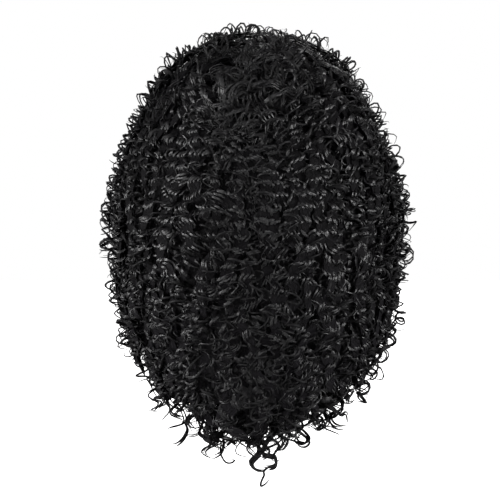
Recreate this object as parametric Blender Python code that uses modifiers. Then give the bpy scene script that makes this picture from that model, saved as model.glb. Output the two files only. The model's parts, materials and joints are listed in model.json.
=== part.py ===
"""Afro wig: a stretch cap that carries tiers of coiled hair, held up as a head holds it.

Metres, +Z up. The face looks along -Y, and the origin is the inside of the cap's crown, where the wig
sits on the head. Azimuth is measured round the head from the back (+Y) towards the wearer's left (+X).
"""

import math
import random
from collections import namedtuple

import bmesh
import bpy
from mathutils import Vector

# A form is a stack of sections from its pole down, each an oval with its own depth in front and behind.
Section = namedtuple("Section", "z half_width back front")

# The head that the cap fits: 153 mm wide and 193 mm long inside.
HEAD = (
    Section(0.000, 0.000, 0.000, 0.000),
    Section(-0.008, 0.030, 0.038, 0.037),
    Section(-0.030, 0.054, 0.068, 0.067),
    Section(-0.062, 0.070, 0.089, 0.087),
    Section(-0.100, 0.0765, 0.097, 0.096),
    Section(-0.140, 0.074, 0.092, 0.092),
    Section(-0.175, 0.065, 0.080, 0.080),
    Section(-0.205, 0.048, 0.060, 0.060),
    Section(-0.225, 0.000, 0.000, 0.000),
)
CAP_WALL = 0.0015
CAP_SIDES = 24
CAP_RINGS = 6

# The hair's outer form, over the crests of its locks.
HAIR = (
    Section(0.063, 0.000, 0.000, 0.000),
    Section(0.052, 0.055, 0.058, 0.054),
    Section(0.022, 0.094, 0.100, 0.092),
    Section(-0.020, 0.119, 0.129, 0.117),
    Section(-0.070, 0.140, 0.152, 0.134),
    Section(-0.125, 0.152, 0.163, 0.140),
    Section(-0.180, 0.148, 0.162, 0.136),
    Section(-0.230, 0.139, 0.153, 0.122),
    Section(-0.280, 0.124, 0.138, 0.104),
    Section(-0.330, 0.106, 0.117, 0.088),
    Section(-0.372, 0.088, 0.096, 0.072),
)
CROWN_SECTIONS = 3
HAIR_SIDES = 22
HAIR_RINGS = 7
UNDERSIDE_Z = -0.255
SEAT_GAP = 0.0004
PART_GAP = 0.0004

# Heights of the cap's rim and of the hem of the hair, by azimuth.
RimStation = namedtuple("RimStation", "azimuth_deg z")
CAP_RIM = (
    RimStation(0, -0.178),
    RimStation(35, -0.172),
    RimStation(62, -0.142),
    RimStation(84, -0.112),
    RimStation(104, -0.128),
    RimStation(126, -0.084),
    RimStation(152, -0.056),
    RimStation(180, -0.050),
)
HEM = (
    RimStation(0, -0.352),
    RimStation(25, -0.340),
    RimStation(45, -0.314),
    RimStation(65, -0.284),
    RimStation(90, -0.258),
    RimStation(120, -0.240),
    RimStation(140, -0.222),
    RimStation(180, -0.222),
)

# The space left open below the cap for the neck, and in front for the face.
NECK_HALF_WIDTH = 0.074
NECK_HALF_DEPTH = 0.080
NECK_TOP_Z = -0.130
FACE_HALF_WIDTH = 0.072
FACE_TOP_Z = -0.094
FACE_MIDDLE_Z = -0.236
OPENING_BOTTOM_Z = -0.420
FACE_REACH = 0.260
OPENING_SIDES = 20

# A lock is a corkscrew: a bundle whose middle winds round a path that lies under the hair's outer form.
Bundle = namedtuple("Bundle", "radius offset pitch")
LOCK_BUNDLE = Bundle(radius=0.0135, offset=0.0050, pitch=0.061)
TAIL_BUNDLE = Bundle(radius=0.0080, offset=0.0055, pitch=0.043)
BUNDLE_SIDES = 5
POINTS_PER_TURN = 3
TIP_SHARE = 0.35
PATH_SEARCH_STEP = 0.0005
BODY_DEPTH = 0.0145

# Rings of locks: how many, over which azimuths, from which height to which, and how much that varies.
LockRow = namedtuple("LockRow", "count first_deg last_deg top_z bottom_z jitter")
LOCK_ROWS = (
    LockRow(6, -165, 135, 0.050, -0.026, 0.010),
    LockRow(11, -135, 135, 0.004, -0.130, 0.014),
    LockRow(12, -138, 138, -0.110, -0.240, 0.012),
    LockRow(8, -72, 72, -0.212, -0.338, 0.014),
    LockRow(3, 155, 205, 0.024, -0.104, 0.006),
)
# The long locks that hang below the hem at the back.
TailLock = namedtuple("TailLock", "azimuth_deg bottom_z")
TAIL_LOCKS = (
    TailLock(-4, -0.398),
    TailLock(12, -0.382),
    TailLock(31, -0.362),
    TailLock(-44, -0.346),
)
TAIL_TOP_Z = -0.262
LOCK_SEED = 6
WELD_DISTANCE = 1e-6
MERGE_DISTANCE = 5e-6

# The tiers are parted along cones that leave the cap at root_z and meet the outer form at outer_z.
Parting = namedtuple("Parting", "root_z outer_z")
PARTINGS = (Parting(-0.030, -0.062), Parting(-0.078, -0.136), Parting(-0.122, -0.208))
ROOT_RADIUS = 0.085
OUTER_RADIUS = 0.155
PARTING_REACH = 0.260
PARTING_SIDES = 28
PARTING_TURN = 0.061
TOP_Z = 0.200
BOTTOM_Z = -0.500

# The fringe is the hair over the forehead.
FRINGE_HALF_WIDTH = 0.088
FRINGE_BACK_Y = -0.046
FRINGE_FRONT_Y = -0.300
FRINGE_BOTTOM_Z = -0.128

Finish = namedtuple("Finish", "colour roughness")
HAIR_FINISH = Finish((0.010, 0.010, 0.011), 0.42)
CAP_FINISH = Finish((0.014, 0.014, 0.015), 0.85)


def clear_scene():
    for found in list(bpy.data.objects):
        bpy.data.objects.remove(found)


def new_collection(name):
    made = bpy.data.collections.new(name)
    bpy.context.scene.collection.children.link(made)
    return made


def new_material(name, finish):
    made = bpy.data.materials.new(name)
    made.use_nodes = True
    shader = made.node_tree.nodes["Principled BSDF"]
    shader.inputs["Base Color"].default_value = (*finish.colour, 1.0)
    shader.inputs["Roughness"].default_value = finish.roughness
    shader.inputs["Metallic"].default_value = 0.0
    return made


def add_mesh(name, mesh, collection, material=None):
    made = bpy.data.objects.new(name, mesh)
    collection.objects.link(made)
    if material:
        mesh.materials.append(material)
    return made


def add_cutter(name, mesh, collection):
    made = add_mesh(name, mesh, collection)
    made.hide_render = True
    made.display_type = "WIRE"
    return made


def mesh_from(made_bmesh, name):
    bmesh.ops.recalc_face_normals(made_bmesh, faces=made_bmesh.faces)
    mesh = bpy.data.meshes.new(name)
    made_bmesh.to_mesh(mesh)
    made_bmesh.free()
    return mesh


def evaluated_mesh(source):
    """The object's mesh with its modifiers applied, and the object removed."""
    bpy.context.view_layer.update()
    graph = bpy.context.evaluated_depsgraph_get()
    mesh = bpy.data.meshes.new_from_object(source.evaluated_get(graph))
    mesh.transform(source.matrix_world)
    bpy.data.objects.remove(source)
    return mesh


def boolean(target, operation, other):
    modifier = target.modifiers.new(operation.title(), "BOOLEAN")
    modifier.operation = operation
    if isinstance(other, bpy.types.Collection):
        modifier.operand_type = "COLLECTION"
        modifier.collection = other
    else:
        modifier.object = other


def shrunk(form, by):
    """The form inside this one: smaller sections, and lower ones where the form is still a crown."""
    pole = form[0]._replace(z=form[0].z - by)
    sections = [pole]
    for i, s in enumerate(form[1:], 1):
        fall = by * max(0.0, 1 - i / CROWN_SECTIONS)
        sections.append(Section(s.z - fall, s.half_width - by, s.back - by, s.front - by))
    return sections


def section_at(form, share):
    """The section at a share of the way down a form, on a smooth curve through its rows."""
    last = len(form) - 1
    at = max(0.0, min(1.0, share)) * last
    i = min(int(at), last - 1)
    t = at - i
    low, high = form[i], form[i + 1]
    before = form[max(i - 1, 0)]
    after = form[min(i + 2, last)]
    values = []
    for a, b, c, d in zip(before, low, high, after):
        slope_in, slope_out = (c - a) / 2, (d - b) / 2
        values.append(
            (2 * t**3 - 3 * t**2 + 1) * b
            + (t**3 - 2 * t**2 + t) * slope_in
            + (3 * t**2 - 2 * t**3) * c
            + (t**3 - t**2) * slope_out
        )
    return Section(*values)


def share_at(form, z):
    """How far down a form that height is, from 0 at its pole to 1."""
    above, below = 0.0, 1.0
    for _ in range(30):
        share = (above + below) / 2
        if section_at(form, share).z > z:
            above = share
        else:
            below = share
    return share


def on_form(form, azimuth, share):
    section = section_at(form, share)
    depth = section.back if math.cos(azimuth) > 0 else section.front
    x = section.half_width * math.sin(azimuth)
    return Vector((x, depth * math.cos(azimuth), section.z))


def height_round(stations, azimuth):
    """The height of a rim at an azimuth, eased between its stations and alike on both sides."""
    side = abs(math.degrees(math.atan2(math.sin(azimuth), math.cos(azimuth))))
    for near, far in zip(stations, stations[1:]):
        if side <= far.azimuth_deg:
            share = (side - near.azimuth_deg) / (far.azimuth_deg - near.azimuth_deg)
            eased = share * share * (3 - 2 * share)
            return near.z + (far.z - near.z) * eased
    return stations[-1].z


def sphere_place(vertex):
    """(azimuth, share of the way from the top to the bottom) of a vertex of the unit sphere."""
    polar = math.acos(max(-1.0, min(1.0, vertex.co.z)))
    return math.atan2(vertex.co.x, vertex.co.y), polar / math.pi


def unit_sphere(sides, rings):
    made = bmesh.new()
    bmesh.ops.create_uvsphere(made, u_segments=sides, v_segments=rings, radius=1.0)
    return made


def cap_mesh():
    """The cap's inner face: the upper half of a sphere, drawn down over the head to the rim."""
    made = unit_sphere(CAP_SIDES, 2 * CAP_RINGS)
    below = [v for v in made.verts if v.co.z < -1e-4]
    bmesh.ops.delete(made, geom=below, context="VERTS")
    for vertex in made.verts:
        azimuth, down = sphere_place(vertex)
        rim_share = share_at(HEAD, height_round(CAP_RIM, azimuth))
        vertex.co = on_form(HEAD, azimuth, 2 * down * rim_share)
    return mesh_from(made, "wig_cap")


def build_cap(collection, material):
    cap = add_mesh("wig_cap", cap_mesh(), collection, material)
    wall = cap.modifiers.new("Wall", "SOLIDIFY")
    wall.thickness = CAP_WALL
    wall.offset = 1.0
    return cap


def hair_body_mesh():
    """The mass under the locks: the outer form down to the hem, closed by a rising underside."""
    body = shrunk(HAIR, BODY_DEPTH)
    made = unit_sphere(HAIR_SIDES, 2 * HAIR_RINGS)
    middle = Vector((0.0, 0.0, UNDERSIDE_Z))
    for vertex in made.verts:
        azimuth, down = sphere_place(vertex)
        hem_share = share_at(body, height_round(HEM, azimuth))
        place = on_form(body, azimuth, min(1.0, 2 * down) * hem_share)
        vertex.co = place.lerp(middle, max(0.0, 2 * down - 1))
    return mesh_from(made, "hair_body")


def head_cutter_mesh():
    """The room that the head and the cap take, in the same facets as the cap."""
    made = unit_sphere(CAP_SIDES, 2 * CAP_RINGS)
    for vertex in made.verts:
        azimuth, down = sphere_place(vertex)
        rim_share = share_at(HEAD, height_round(CAP_RIM, azimuth))
        below_rim = max(0.0, 2 * down - 1)
        share = min(1.0, 2 * down) * rim_share + below_rim * (1 - rim_share)
        vertex.co = on_form(HEAD, azimuth, share)
    made.normal_update()
    moves = [vertex.normal * (CAP_WALL + SEAT_GAP) for vertex in made.verts]
    for vertex, move in zip(made.verts, moves):
        vertex.co += move
    return mesh_from(made, "head_room")


def cylinder_mesh(name, radius_a, radius_b, length):
    """An elliptical cylinder about Z with its middle at the origin."""
    made = bmesh.new()
    bmesh.ops.create_cone(
        made, cap_ends=True, segments=OPENING_SIDES, radius1=1.0, radius2=1.0, depth=length
    )
    for vertex in made.verts:
        vertex.co.x *= radius_a
        vertex.co.y *= radius_b
    return mesh_from(made, name)


def build_openings(collection):
    """Cutters for the head, the neck below it and the face in front."""
    head = add_cutter("head_room", head_cutter_mesh(), collection)
    neck_length = NECK_TOP_Z - OPENING_BOTTOM_Z
    neck_mesh = cylinder_mesh("neck_room", NECK_HALF_WIDTH, NECK_HALF_DEPTH, neck_length)
    neck = add_cutter("neck_room", neck_mesh, collection)
    neck.location.z = (NECK_TOP_Z + OPENING_BOTTOM_Z) / 2
    face_height = FACE_TOP_Z - FACE_MIDDLE_Z
    face_mesh = cylinder_mesh("face_room", FACE_HALF_WIDTH, face_height, FACE_REACH)
    face = add_cutter("face_room", face_mesh, collection)
    face.rotation_euler.x = math.pi / 2
    face.location = (0.0, -FACE_REACH / 2, FACE_MIDDLE_Z)
    return head, neck, face


def lock_path(azimuth, top_z, bottom_z, bundle):
    """Points down the outer form and on below it, a share of a turn apart."""
    path = shrunk(HAIR, bundle.radius + bundle.offset)
    top_share = share_at(path, top_z)
    low_share = share_at(path, bottom_z)
    places = [on_form(path, azimuth, top_share)]
    step = bundle.pitch / POINTS_PER_TURN
    share = top_share
    while share < low_share:
        share += PATH_SEARCH_STEP
        place = on_form(path, azimuth, share)
        if (place - places[-1]).length >= step:
            places.append(place)
    while places[-1].z - step > bottom_z:
        places.append(places[-1] - Vector((0.0, 0.0, step)))
    return places


def coiled(places, bundle, phase, turn_way):
    """The same path wound into a corkscrew."""
    wound = []
    for i, place in enumerate(places):
        before, after = places[max(i - 1, 0)], places[min(i + 1, len(places) - 1)]
        along = (after - before).normalized()
        sideways = Vector((-place.y, place.x, 0.0)).normalized()
        outwards = along.cross(sideways)
        turn = phase + turn_way * 2 * math.pi * i / POINTS_PER_TURN
        wound.append(place + bundle.offset * (outwards * math.cos(turn) + sideways * math.sin(turn)))
    return wound


def bundle_profile(name, bundle, collection):
    """The section of a bundle."""
    curve = bpy.data.curves.new(name, "CURVE")
    curve.dimensions = "2D"
    spline = curve.splines.new("POLY")
    spline.points.add(BUNDLE_SIDES - 1)
    spline.use_cyclic_u = True
    for i, point in enumerate(spline.points):
        turn = 2 * math.pi * i / BUNDLE_SIDES
        point.co = (bundle.radius * math.cos(turn), bundle.radius * math.sin(turn), 0.0, 1.0)
    profile = bpy.data.objects.new(name, curve)
    profile.hide_render = True
    collection.objects.link(profile)
    return profile


def add_lock(name, places, profile, collection):
    """Sweeps the profile along a lock, tapered at both ends, and closes the result as a mesh."""
    curve = bpy.data.curves.new(name, "CURVE")
    curve.dimensions = "3D"
    curve.twist_mode = "MINIMUM"
    curve.bevel_mode = "OBJECT"
    curve.bevel_object = profile
    curve.use_fill_caps = True
    spline = curve.splines.new("POLY")
    spline.points.add(len(places) - 1)
    for i, (point, place) in enumerate(zip(spline.points, places)):
        from_end = min(i, len(places) - 1 - i)
        point.co = (*place, 1.0)
        point.radius = TIP_SHARE if from_end == 0 else 1.0
    lock = bpy.data.objects.new(name, curve)
    collection.objects.link(lock)
    made = bmesh.new()
    made.from_mesh(evaluated_mesh(lock))
    bmesh.ops.remove_doubles(made, verts=made.verts, dist=WELD_DISTANCE)
    return add_cutter(name, mesh_from(made, name), collection)


def build_locks(collection, helpers):
    chance = random.Random(LOCK_SEED)
    profile = bundle_profile("lock_profile", LOCK_BUNDLE, helpers)
    tail_profile = bundle_profile("tail_profile", TAIL_BUNDLE, helpers)
    made = 0
    for row in LOCK_ROWS:
        for i in range(row.count):
            azimuth_deg = row.first_deg + (row.last_deg - row.first_deg) * i / (row.count - 1)
            azimuth = math.radians(azimuth_deg + chance.uniform(-2, 2))
            top_z = row.top_z + chance.uniform(-row.jitter, row.jitter) / 2
            bottom_z = row.bottom_z + chance.uniform(-row.jitter, row.jitter)
            places = lock_path(azimuth, top_z, bottom_z, LOCK_BUNDLE)
            phase = chance.uniform(0, 2 * math.pi)
            places = coiled(places, LOCK_BUNDLE, phase, chance.choice((-1, 1)))
            made += 1
            add_lock(f"lock_{made:02d}", places, profile, collection)
    for tail in TAIL_LOCKS:
        azimuth = math.radians(tail.azimuth_deg)
        places = lock_path(azimuth, TAIL_TOP_Z, tail.bottom_z, TAIL_BUNDLE)
        made += 1
        add_lock(f"lock_{made:02d}", coiled(places, TAIL_BUNDLE, 0.0, 1), tail_profile, collection)


def build_fused_hair(helpers, locks):
    """The whole head of hair in one mesh: the body, opened for head, neck and face, with its locks fused on."""
    body = add_cutter("hair_body", hair_body_mesh(), helpers)
    for room in build_openings(helpers):
        boolean(body, "DIFFERENCE", room)
    boolean(body, "UNION", locks)
    mesh = evaluated_mesh(body)
    made = bmesh.new()
    made.from_mesh(mesh)
    bmesh.ops.triangulate(made, faces=made.faces)
    bmesh.ops.remove_doubles(made, verts=made.verts, dist=MERGE_DISTANCE)
    made.to_mesh(mesh)
    made.free()
    return mesh


def parting_profile(parting, shift):
    """Points (radius, z) of a parting from the axis outwards."""
    slope = (parting.outer_z - parting.root_z) / (OUTER_RADIUS - ROOT_RADIUS)
    end_z = parting.outer_z + slope * (PARTING_REACH - OUTER_RADIUS)
    return [
        (0.0, parting.root_z + shift),
        (ROOT_RADIUS, parting.root_z + shift),
        (PARTING_REACH, end_z + shift),
    ]


def flat_profile(z):
    return [(0.0, z), (PARTING_REACH, z)]


def region(name, upper, lower, collection):
    """A turned cutter between two profiles, each a list of (radius, z) from the axis outwards."""
    outline = upper + lower[::-1]
    mesh = bpy.data.meshes.new(name)
    edges = [(i, i + 1) for i in range(len(outline) - 1)]
    across, along = math.cos(PARTING_TURN), math.sin(PARTING_TURN)
    mesh.from_pydata([(radius * across, radius * along, z) for radius, z in outline], edges, [])
    profile = add_cutter(name, mesh, collection)
    turn = profile.modifiers.new("Turn", "SCREW")
    turn.axis = "Z"
    turn.steps = PARTING_SIDES
    turn.render_steps = PARTING_SIDES
    turn.use_merge_vertices = True
    turn.merge_threshold = MERGE_DISTANCE
    made = bmesh.new()
    made.from_mesh(evaluated_mesh(profile))
    bmesh.ops.remove_doubles(made, verts=made.verts, dist=WELD_DISTANCE)
    return add_cutter(name, mesh_from(made, name), collection)


def fringe_block(name, margin, collection):
    """The box that parts the fringe over the forehead from the side hair."""
    low = Vector((-FRINGE_HALF_WIDTH - margin, FRINGE_FRONT_Y, FRINGE_BOTTOM_Z - margin))
    high = Vector((FRINGE_HALF_WIDTH + margin, FRINGE_BACK_Y + margin, TOP_Z))
    made = bmesh.new()
    bmesh.ops.create_cube(made, size=1.0)
    for vertex in made.verts:
        vertex.co = Vector(
            tuple(a + (b - a) * (c + 0.5) for a, b, c in zip(low, high, vertex.co))
        )
    return add_cutter(name, mesh_from(made, name), collection)


def build_tiers(fused, collection, helpers, material):
    """Parts the fused hair into the crown, the fringe and the wefts, a small gap apart."""
    half = PART_GAP / 2
    above = [parting_profile(p, half) for p in PARTINGS]
    below = [parting_profile(p, -half) for p in PARTINGS]
    bottom = flat_profile(BOTTOM_Z)
    regions = {
        "crown_hair": region("crown_region", flat_profile(TOP_Z), above[0], helpers),
        "upper_weft_hair": region("upper_region", below[0], above[1], helpers),
        "middle_weft_hair": region("middle_region", below[1], above[2], helpers),
        "nape_weft_hair": region("nape_region", below[2], bottom, helpers),
        "fringe_hair": region("fringe_region", below[0], bottom, helpers),
    }
    fringe_only = fringe_block("fringe_block", -half, helpers)
    fringe_space = fringe_block("fringe_space", half, helpers)
    for name, cutter in regions.items():
        tier = add_mesh(name, fused.copy(), collection, material)
        boolean(tier, "INTERSECT", cutter)
        if name == "fringe_hair":
            boolean(tier, "INTERSECT", fringe_only)
        elif name != "crown_hair":
            boolean(tier, "DIFFERENCE", fringe_space)


def main():
    clear_scene()
    wig = new_collection("afro_wig")
    helpers = new_collection("cutters")
    locks = new_collection("locks")
    hair = new_material("hair", HAIR_FINISH)
    build_cap(wig, new_material("cap_net", CAP_FINISH))
    build_locks(locks, helpers)
    build_tiers(build_fused_hair(helpers, locks), wig, helpers, hair)


main()
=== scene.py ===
"""Looks of a curly afro wig: waved and coiled locks in tiers round a dark base, and a net cap.

Metres, +Z up, the face along -Y, seen from behind. An azimuth is measured round the head from the
back (+Y) towards the wearer's left (+X).
"""

import json
import math
from collections import namedtuple

import bpy
import numpy as np
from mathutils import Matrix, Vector

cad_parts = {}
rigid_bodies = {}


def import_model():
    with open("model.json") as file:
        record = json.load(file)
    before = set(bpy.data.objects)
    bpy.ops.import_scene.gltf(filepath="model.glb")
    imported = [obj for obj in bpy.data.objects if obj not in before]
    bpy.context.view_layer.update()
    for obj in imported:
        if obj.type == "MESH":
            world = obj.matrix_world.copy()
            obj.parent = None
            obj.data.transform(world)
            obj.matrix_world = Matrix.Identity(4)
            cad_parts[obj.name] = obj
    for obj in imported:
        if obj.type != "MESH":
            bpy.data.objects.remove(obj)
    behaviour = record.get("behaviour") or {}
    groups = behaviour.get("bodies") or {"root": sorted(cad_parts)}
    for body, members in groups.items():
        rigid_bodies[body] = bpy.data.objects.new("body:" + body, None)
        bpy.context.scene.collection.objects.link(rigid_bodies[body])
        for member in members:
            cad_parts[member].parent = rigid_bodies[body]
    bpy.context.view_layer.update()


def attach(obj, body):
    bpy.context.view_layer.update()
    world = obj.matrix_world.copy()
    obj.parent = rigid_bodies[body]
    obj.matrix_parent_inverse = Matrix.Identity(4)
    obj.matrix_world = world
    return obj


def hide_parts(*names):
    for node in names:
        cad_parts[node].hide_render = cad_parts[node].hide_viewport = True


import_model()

SEED = 5

# The hair's outer form and the hollow for the head: each a stack of ovals from the top down.
Section = namedtuple("Section", "z half_width back front")
HAIR = (
    Section(0.061, 0.000, 0.000, 0.000),
    Section(0.050, 0.053, 0.056, 0.052),
    Section(0.021, 0.091, 0.098, 0.090),
    Section(-0.020, 0.117, 0.127, 0.115),
    Section(-0.070, 0.138, 0.150, 0.132),
    Section(-0.125, 0.150, 0.161, 0.138),
    Section(-0.180, 0.147, 0.160, 0.134),
    Section(-0.230, 0.139, 0.151, 0.120),
    Section(-0.280, 0.126, 0.136, 0.102),
    Section(-0.330, 0.108, 0.115, 0.086),
    Section(-0.372, 0.090, 0.094, 0.070),
)
HEAD = (
    Section(0.000, 0.0000, 0.000, 0.000),
    Section(-0.008, 0.0300, 0.038, 0.037),
    Section(-0.030, 0.0540, 0.068, 0.067),
    Section(-0.062, 0.0700, 0.089, 0.087),
    Section(-0.100, 0.0765, 0.097, 0.096),
    Section(-0.140, 0.0770, 0.096, 0.094),
    Section(-0.175, 0.0760, 0.088, 0.086),
    Section(-0.205, 0.0760, 0.082, 0.082),
    Section(-0.420, 0.0760, 0.082, 0.082),
)
ROWS_PER_SECTION = 24

# The middle that depths in a form are measured from, and the whorl that the hair grows out from.
CENTRE = np.array((0.0, 0.0, -0.130))
WHORL = np.array((0.004, 0.104, 0.010))
UP = np.array((0.0, 0.0, 1.0))
LEVEL = np.array((1.0, 1.0, 0.0))

# The lower edge of the hair by azimuth, the arch over the face, and the rim of the cap.
Station = namedtuple("Station", "azimuth_deg z")
HEM = (
    Station(0, -0.337),
    Station(25, -0.327),
    Station(45, -0.308),
    Station(65, -0.284),
    Station(90, -0.258),
    Station(120, -0.240),
    Station(140, -0.222),
    Station(180, -0.222),
)
CAP_RIM = (
    Station(0, -0.178),
    Station(35, -0.172),
    Station(62, -0.142),
    Station(84, -0.112),
    Station(104, -0.128),
    Station(126, -0.084),
    Station(152, -0.056),
    Station(180, -0.050),
)
FACE_HALF_WIDTH = 0.072
FACE_TOP_Z = -0.094
FACE_MIDDLE_Z = -0.236

# Where one tier of hair ends and the next begins, at the outer form.
WHORL_REACH = 0.075
TIER_EDGES = (-0.062, -0.136, -0.208)
FRINGE_HALF_WIDTH = 0.088
FRINGE_BACK_Y = -0.046
FRINGE_BOTTOM_Z = -0.128
SOURCE_NODE = {
    "whorl": "crown_hair",
    "crown": "crown_hair",
    "fringe": "fringe_hair",
    "upper_weft": "upper_weft_hair",
    "middle_weft": "middle_weft_hair",
    "nape_weft": "nape_weft_hair",
}

# How one lock winds: its reach to the sides and in depth, one turn's length along the lock, how many
# strands lie side by side and how far apart, the size of each, whether a strand's face looks out
# from the coil (1) or out from the head (0), how far out the lock's core lies as a share of its
# depth, how much its strands may differ in phase, and whether they wave in rows with other locks.
Style = namedtuple(
    "Style",
    "lateral depth pitch strands gap width height facing core fan in_rows",
    defaults=(1.0, False),
)

# How many locks there are of each kind.
OUTER_LOCKS = 960
UNDER_LOCKS = 100
LOOSE_CURLS = 640
WISPS = 150
HEM_LOCKS = 330
DANGLING_LOCKS = 134
INNER_LOCKS = 90
FACE_LOCKS = 76

# From how far to how far off the whorl its loose locks end, the fall of the hair takes over from its
# swirl, locks grow finer, and paths sway more. No path grows back into the whorl's eye.
NEAR_WHORL = (0.030, 0.085)
SWIRL_TO_FALL = (0.015, 0.12)
LOW_HAIR = (0.17, 0.29)
RESTLESS_HAIR = (0.16, 0.30)
WHORL_EYE = 0.008

# The flow of the hair: its swirl round the whorl, its fall, and how much and over what length it
# wavers. Rows of waves bend, and locks change the hand that they wind to, over a longer length.
SWIRL = 0.5
FALL = np.array((0.0, 0.0, -1.6))
WAVER = 0.40
WAVER_LENGTH = 0.075
ROW_BEND = 2.2
ROW_BEND_LENGTH = 0.11

# Sites: how many are found for each one kept, how many directions are tried for that, and what a
# direction's share of the surface is measured against.
SITE_CHOICES = 8
TRIES_PER_SITE = 20
LARGEST_AREA = 0.045
STEEPEST = 0.3

# Paths: the length of a step, the fewest points of a path, how far in a lock's root lies, how far a
# hanging lock leans and sways, and the tufts that locks gather in.
STEP = 0.003
FEWEST_POINTS = 6
ROOT_DEPTH = 0.005
HANG_LEAN = 0.22
HANG_SWAY = 0.002
TUFT_HEIGHT = 0.003
TUFT_LENGTH = 0.042

# Waves: one wave's length away from the whorl and what is added at it, how wide a lock is, how much
# the strands of one differ in phase, and how far a lock's core reaches to the sides.
WAVE_PITCH = 0.0128
WHORL_PITCH = 0.0150
LOCK_WIDTHS = (0.0070, 0.0130)
ROW_TILT = 0.34
CORE_REACH = 0.75
WIDEST_CORE_REACH = 0.0030

# Strands: the range of a random phase, the fewest rings of one, and how many rings there are in a
# turn of each kind.
PHASES = 6.3
FEWEST_RINGS = 7
UNDER_RINGS = 7
LOCK_RINGS = 9
CURL_RINGS = 10
DANGLING_RINGS = 12

# Looks of the hair: its tint, the darkest and palest tone of its streaks, and how much rougher it is
# near the lower edge than at the temples.
HAIR_TINT = (1.00, 0.92, 1.08)
HAIR_TONES = (0.0030, 0.0090)
LOW_HAIR_DULLNESS = 0.14
TEMPLE_Z = -0.12
LOW_Z = -0.30

# Looks of the dark base, before its shade, and of the cap's net.
BASE_TONES = ((0.0140, 0.0134, 0.0146), (0.0380, 0.0364, 0.0396))
NET_GAP = (0.0025, 0.0025, 0.0028, 1)
NET_THREAD = (0.020, 0.019, 0.021, 1)
NET_TAPE = (0.011, 0.011, 0.012, 1)

# The dark base under the locks, and its lining, which keeps clear of the cap and stands back below
# the cap's rim. It starts a little above the edge of the base and ends a little under the head's top.
BASE_DEPTH = 0.021
BASE_HEM_RISE = 0.017
BASE_AROUND = 96
BASE_DOWN = 40
BASE_UP = 24
CAP_CLEARANCE = 0.003
LINING_ROOM = 0.013
LINING_RISE = 0.004
LINING_TOP = -0.001
RIM_RANGE = (-0.014, 0.002)


def smooth_rows(rows, per_gap):
    """Rows of numbers joined by a smooth curve through them."""
    values = np.array(rows, float)
    last = len(values) - 1
    at = np.linspace(0, last, last * per_gap + 1)
    i = np.minimum(at.astype(int), last - 1)
    t = (at - i)[:, None]
    before, low = values[np.maximum(i - 1, 0)], values[i]
    high, after = values[i + 1], values[np.minimum(i + 2, last)]
    slope_in, slope_out = (high - before) / 2, (after - low) / 2
    return (
        (2 * t**3 - 3 * t**2 + 1) * low
        + (t**3 - 2 * t**2 + t) * slope_in
        + (3 * t**2 - 2 * t**3) * high
        + (t**3 - t**2) * slope_out
    )


def smoothstep(low, high, value):
    """0 below a range and 1 above it, with a soft rise between."""
    t = np.clip((value - low) / (high - low), 0, 1)
    return t * t * (3 - 2 * t)


def unit(vectors):
    return vectors / np.maximum(np.linalg.norm(vectors, axis=-1, keepdims=True), 1e-12)


class Form:
    """A stack of ovals, as the distance to its surface from a centre in every direction."""

    POLAR, ROUND = 181, 361
    FARTHEST, HALVINGS = 0.30, 26

    def __init__(self, sections):
        rows = smooth_rows(sections, ROWS_PER_SECTION)[::-1]
        self.z, self.half_width, self.back, self.front = rows.T
        polar = np.linspace(0, math.pi, self.POLAR)[:, None]
        turn = np.linspace(-math.pi, math.pi, self.ROUND)[None, :]
        flat, tall = np.sin(polar), np.cos(polar) + 0 * turn
        ways = np.stack((flat * np.sin(turn), flat * np.cos(turn), tall), axis=-1)
        near = np.zeros(ways.shape[:2])
        far = np.full(ways.shape[:2], self.FARTHEST)
        for _ in range(self.HALVINGS):
            middle = (near + far) / 2
            inside = self.inside(CENTRE + ways * middle[..., None])
            near = np.where(inside, middle, near)
            far = np.where(inside, far, middle)
        self.reach = near

    def oval(self, azimuth, z):
        """The point of the oval at a height, by azimuth."""
        wide = np.interp(z, self.z, self.half_width)
        back = np.interp(z, self.z, self.back)
        front = np.interp(z, self.z, self.front)
        deep = np.where(np.cos(azimuth) > 0, back, front)
        return np.stack((wide * np.sin(azimuth), deep * np.cos(azimuth), z + 0 * azimuth), axis=-1)

    def inside(self, points):
        """Whether each point lies within its height's oval."""
        x, y, z = np.moveaxis(points, -1, 0)
        wide = np.maximum(np.interp(z, self.z, self.half_width), 1e-5)
        deep = np.where(y > 0, np.interp(z, self.z, self.back), np.interp(z, self.z, self.front))
        deep = np.maximum(deep, 1e-5)
        return ((x / wide) ** 2 + (y / deep) ** 2 < 1) & (z < self.z[-1])

    def distance(self, points):
        """How far inside the form each point is, along the line from the centre."""
        away = points - CENTRE
        length = np.maximum(np.linalg.norm(away, axis=-1), 1e-9)
        polar = np.arccos(np.clip(away[..., 2] / length, -1, 1)) / math.pi * (self.POLAR - 1)
        turn = (np.arctan2(away[..., 0], away[..., 1]) / math.pi + 1) / 2 * (self.ROUND - 1)
        i = np.clip(polar.astype(int), 0, self.POLAR - 2)
        j = np.clip(turn.astype(int), 0, self.ROUND - 2)
        s, t = polar - i, turn - j
        reach = (
            self.reach[i, j] * (1 - s) * (1 - t)
            + self.reach[i + 1, j] * s * (1 - t)
            + self.reach[i, j + 1] * (1 - s) * t
            + self.reach[i + 1, j + 1] * s * t
        )
        return reach - length

    def normal(self, points):
        """The way out of the form at each point."""
        small = 0.002
        slopes = [
            self.distance(points - small * axis) - self.distance(points + small * axis)
            for axis in np.eye(3)
        ]
        return unit(np.stack(slopes, axis=-1))


def around(stations, azimuth):
    """The height between stations at an azimuth, the same on both sides."""
    side = np.degrees(np.abs(azimuth))
    return np.interp(side, [s.azimuth_deg for s in stations], [s.z for s in stations])


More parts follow.
